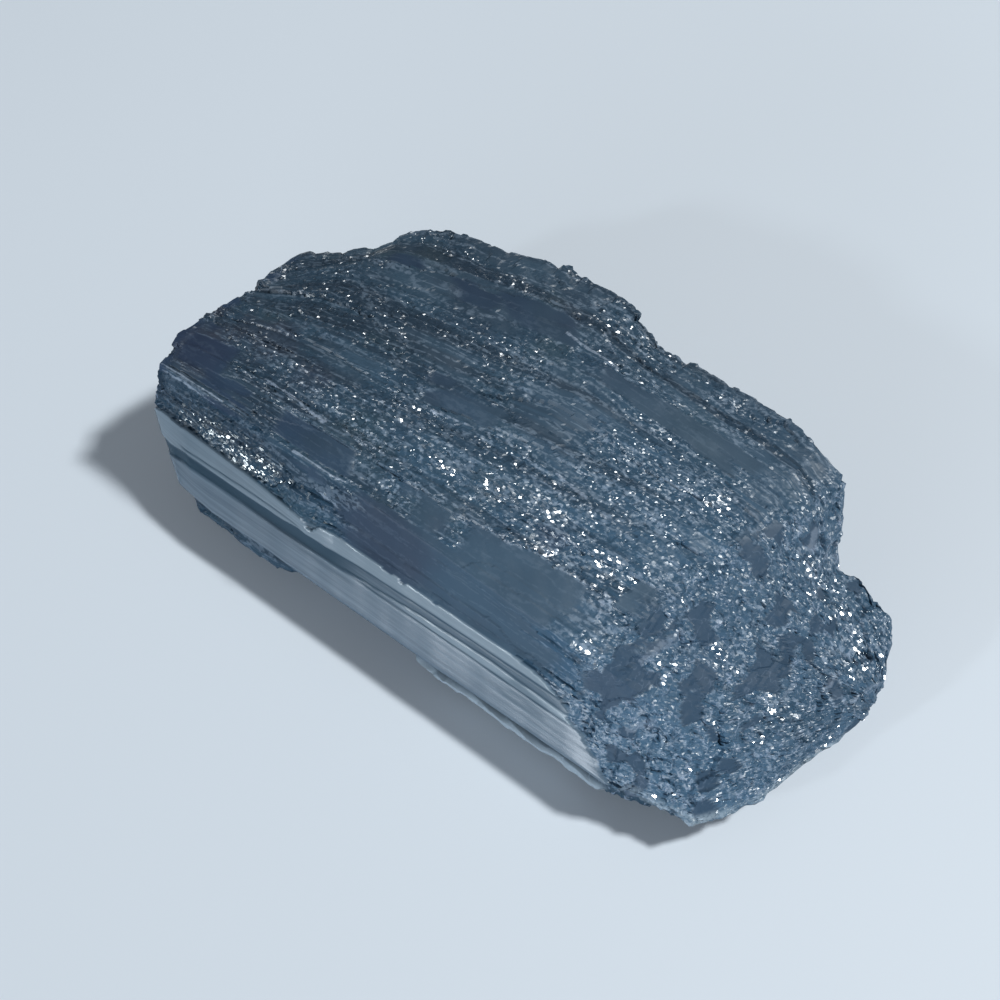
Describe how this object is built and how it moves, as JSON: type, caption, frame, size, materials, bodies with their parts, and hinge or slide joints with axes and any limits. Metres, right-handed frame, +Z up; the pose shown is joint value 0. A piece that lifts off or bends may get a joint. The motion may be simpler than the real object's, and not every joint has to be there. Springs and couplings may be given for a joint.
{
  "type": "raw black tourmaline crystal",
  "caption": "Broken length of a striated black tourmaline crystal lying on its side, with one glossy prism face and a coarse sloping break.",
  "frame": {"origin": "middle of the bounding box in plan, on the plane of the flat resting face", "axes": "+X along the crystal's long axis, towards the sloping break and its low lobe; +Y away from the glossy prism face; +Z up"},
  "size_m": [0.0654, 0.0354, 0.0163],
  "materials": {
    "schorl": "blue-black schorl: grainy, glittering breaks, fine striations along the prism, one glossy grey-blue prism face"
  },
  "bodies": {
    "root": {"tourmaline_crystal": "schorl"}
  },
  "joints": []
}
